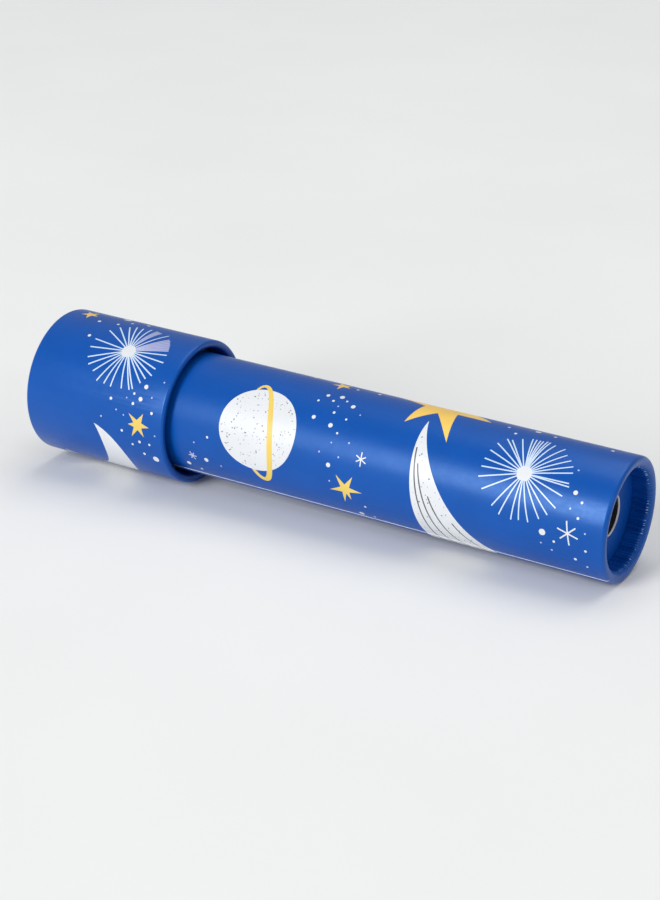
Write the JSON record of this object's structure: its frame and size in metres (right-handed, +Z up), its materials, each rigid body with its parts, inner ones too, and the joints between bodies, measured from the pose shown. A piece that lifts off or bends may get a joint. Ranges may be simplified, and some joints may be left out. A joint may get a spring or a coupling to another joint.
{
  "type": "kaleidoscope",
  "caption": "Paper-wrapped board tube kaleidoscope with three inside mirrors, a recessed peep hole and a wider end cap that turns to tumble loose coloured pieces.",
  "frame": {"origin": "on the surface the kaleidoscope lies on, under the middle of its length and its axis", "axes": "+X along the tube towards the eyepiece, +Z up, the tube lying on the cap's mouth and the eyepiece rim, so its own axis slopes down by 1.63 degrees towards +X"},
  "size_m": [0.2166, 0.05, 0.0515],
  "materials": {
    "printed_paper": "matte",
    "eyepiece_paper": "matte",
    "greyboard": "matte",
    "white_board": "matte",
    "black_card": "matte",
    "foam": "matte",
    "clear_plastic": "polished",
    "frosted_plastic": "satin",
    "mirror": "polished",
    "ruby_plastic": "gloss",
    "amber_plastic": "gloss",
    "emerald_plastic": "gloss",
    "sapphire_plastic": "gloss",
    "amethyst_plastic": "gloss",
    "pink_plastic": "gloss"
  },
  "bodies": {
    "tube": {"main_tube": "greyboard", "tube_wrap": "printed_paper", "tube_collar": "greyboard", "eyepiece_ring": "greyboard", "eyepiece_facing": "eyepiece_paper", "eyepiece_disc": "black_card", "eyepiece_window": "clear_plastic", "rear_spacer_ring": "greyboard", "front_stop_ring": "greyboard", "front_window": "clear_plastic", "front_mask": "black_card", "mirror_sleeve": "black_card", "mirror_base": "mirror", "front_packer_1": "foam", "rear_packer_1": "foam", "mirror_left": "mirror", "front_packer_2": "foam", "rear_packer_2": "foam", "mirror_right": "mirror", "front_packer_3": "foam", "rear_packer_3": "foam"},
    "cap": {"cap_tube": "greyboard", "cap_wrap": "printed_paper", "end_ring": "greyboard", "diffuser": "frosted_plastic", "cell_ring": "white_board", "cell_window": "clear_plastic", "cell_stop_ring": "greyboard", "cap_bush": "greyboard"},
    "loose_fill": {"bead_1": "ruby_plastic", "crystal_1": "amber_plastic", "star_1": "emerald_plastic", "bugle_1": "sapphire_plastic", "chip_1": "amethyst_plastic", "hoop_1": "pink_plastic", "sequin_1": "ruby_plastic", "bead_2": "amber_plastic", "crystal_2": "emerald_plastic", "star_2": "sapphire_plastic", "bugle_2": "amethyst_plastic", "chip_2": "pink_plastic", "hoop_2": "ruby_plastic", "sequin_2": "amber_plastic", "bead_3": "emerald_plastic", "crystal_3": "sapphire_plastic", "star_3": "amethyst_plastic", "bugle_3": "pink_plastic", "chip_3": "ruby_plastic", "hoop_3": "amber_plastic", "sequin_3": "emerald_plastic", "bead_4": "sapphire_plastic", "crystal_4": "amethyst_plastic", "star_4": "pink_plastic"}
  },
  "joints": [
    {"name": "cap_turn", "type": "hinge", "parent": "tube", "child": "cap", "pos_m": [-0.07915, 0, 0.02577], "axis": [0.9996, 0, -0.0284], "continuous": true},
    {"name": "fill_tumble", "type": "hinge", "parent": "cap", "child": "loose_fill", "pos_m": [-0.09874, 0, 0.02633], "axis": [0.9996, 0, -0.0284], "continuous": true}
  ]
}
